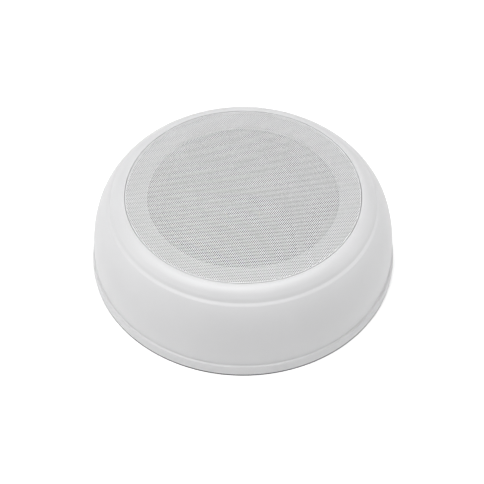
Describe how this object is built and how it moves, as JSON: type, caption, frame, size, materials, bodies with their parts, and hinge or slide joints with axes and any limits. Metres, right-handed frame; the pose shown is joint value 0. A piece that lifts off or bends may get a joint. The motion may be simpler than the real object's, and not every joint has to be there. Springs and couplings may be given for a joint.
{
  "type": "ceiling loudspeaker",
  "caption": "Round surface-mount ceiling loudspeaker: white bowl-shaped housing on a twist-lock plate, flat perforated grille, cone driver with line transformer inside.",
  "frame": {"origin": "centre of the back face, on the ceiling plane", "axes": "+Z out through the grille, away from the ceiling; the cable entry is towards -Y"},
  "size_m": [0.25, 0.25, 0.0698],
  "materials": {
    "white_abs": "satin white moulded ABS, fine texture",
    "grille_steel": "white powder-coated perforated steel",
    "grey_seal": "matt grey rubber",
    "black_rubber": "matt black rubber",
    "black_foam": "closed-cell foam",
    "black_steel": "black painted pressed steel",
    "zinc_steel": "bright zinc plated",
    "ferrite": "ground dark grey ceramic ferrite",
    "cone_paper": "pressed dark grey paper pulp",
    "whizzer_paper": "pressed grey-brown paper",
    "former_paper": "kraft paper",
    "pleated_cloth": "treated black cloth",
    "spider_cloth": "resin-treated amber cloth",
    "copper": "enamelled copper",
    "brass": "plain brass",
    "phenolic": "brown phenolic board",
    "core_steel": "varnished steel laminations",
    "black_nylon": "black nylon",
    "winding_tape": "yellow polyester tape over copper wire",
    "ceramic": "glazed off-white steatite ceramic",
    "selector_knob": "white nylon",
    "capacitor_case": "blue epoxy-dipped case",
    "red_pvc": "red PVC insulation",
    "black_pvc": "black PVC insulation",
    "blue_pvc": "blue PVC insulation"
  },
  "bodies": {
    "base": {"mounting_plate": "white_abs", "cable_grommet": "black_rubber", "cable_clamp": "white_abs", "cable_clamp_screw_1": "zinc_steel", "cable_clamp_screw_2": "zinc_steel"},
    "seal": {"rim_seal": "grey_seal"},
    "front": {"housing": "white_abs", "driver_gasket": "black_foam", "basket": "black_steel", "surround": "pleated_cloth", "spider": "spider_cloth", "pole_plate": "zinc_steel", "magnet": "ferrite", "yoke": "zinc_steel", "driver_terminal_board": "phenolic", "driver_lug_1": "brass", "driver_lug_2": "brass", "tinsel_lead_1": "copper", "tinsel_lead_2": "copper", "driver_clamp_1": "zinc_steel", "driver_clamp_2": "zinc_steel", "driver_clamp_3": "zinc_steel", "driver_clamp_4": "zinc_steel", "driver_clamp_screw_1": "zinc_steel", "driver_clamp_screw_2": "zinc_steel", "driver_clamp_screw_3": "zinc_steel", "driver_clamp_screw_4": "zinc_steel", "transformer_core": "core_steel", "transformer_bobbin": "black_nylon", "transformer_winding": "winding_tape", "transformer_strap": "zinc_steel", "transformer_screw_1": "zinc_steel", "transformer_screw_2": "zinc_steel", "terminal_block": "ceramic", "terminal_sleeve_1": "brass", "terminal_sleeve_2": "brass", "terminal_screw_1": "brass", "terminal_screw_2": "brass", "terminal_screw_3": "brass", "terminal_screw_4": "brass", "block_screw": "zinc_steel", "thermal_fuse": "ceramic", "blocking_capacitor": "capacitor_case", "selector_body": "black_nylon", "driver_lead_1": "red_pvc", "driver_lead_2": "black_pvc", "line_lead_1": "blue_pvc", "line_lead_2": "red_pvc", "fuse_lead": "red_pvc", "capacitor_lead": "black_pvc", "tap_lead_1": "blue_pvc", "tap_lead_2": "black_pvc"},
    "moving_cone": {"cone": "cone_paper", "whizzer_cone": "whizzer_paper", "dust_cap": "cone_paper", "voice_coil_former": "former_paper", "voice_coil": "copper"},
    "grille": {"grille": "grille_steel"},
    "selector_knob": {"selector_knob": "selector_knob"}
  },
  "joints": [
    {"name": "housing_lift", "type": "slide", "parent": "base", "child": "seal", "axis": [0, 0, 1], "range_m": [0, 0.08]},
    {"name": "housing_twist", "type": "hinge", "parent": "seal", "child": "front", "pos_m": [0, 0, 0], "axis": [0, 0, -1], "range_deg": [0, 14]},
    {"name": "grille_lift", "type": "slide", "parent": "front", "child": "grille", "axis": [0, 0, 1], "range_m": [0, 0.04]},
    {"name": "cone_travel", "type": "slide", "parent": "front", "child": "moving_cone", "axis": [0, 0, 1], "range_m": [-0.004, 0.004], "stiffness_N_per_m": 1500, "deforming": ["surround", "spider", "tinsel_lead_1", "tinsel_lead_2"]},
    {"name": "selector_turn", "type": "hinge", "parent": "front", "child": "selector_knob", "pos_m": [0.06435, -0.06435, 0.018], "axis": [0, 0, 1], "range_deg": [-60, 60]}
  ]
}
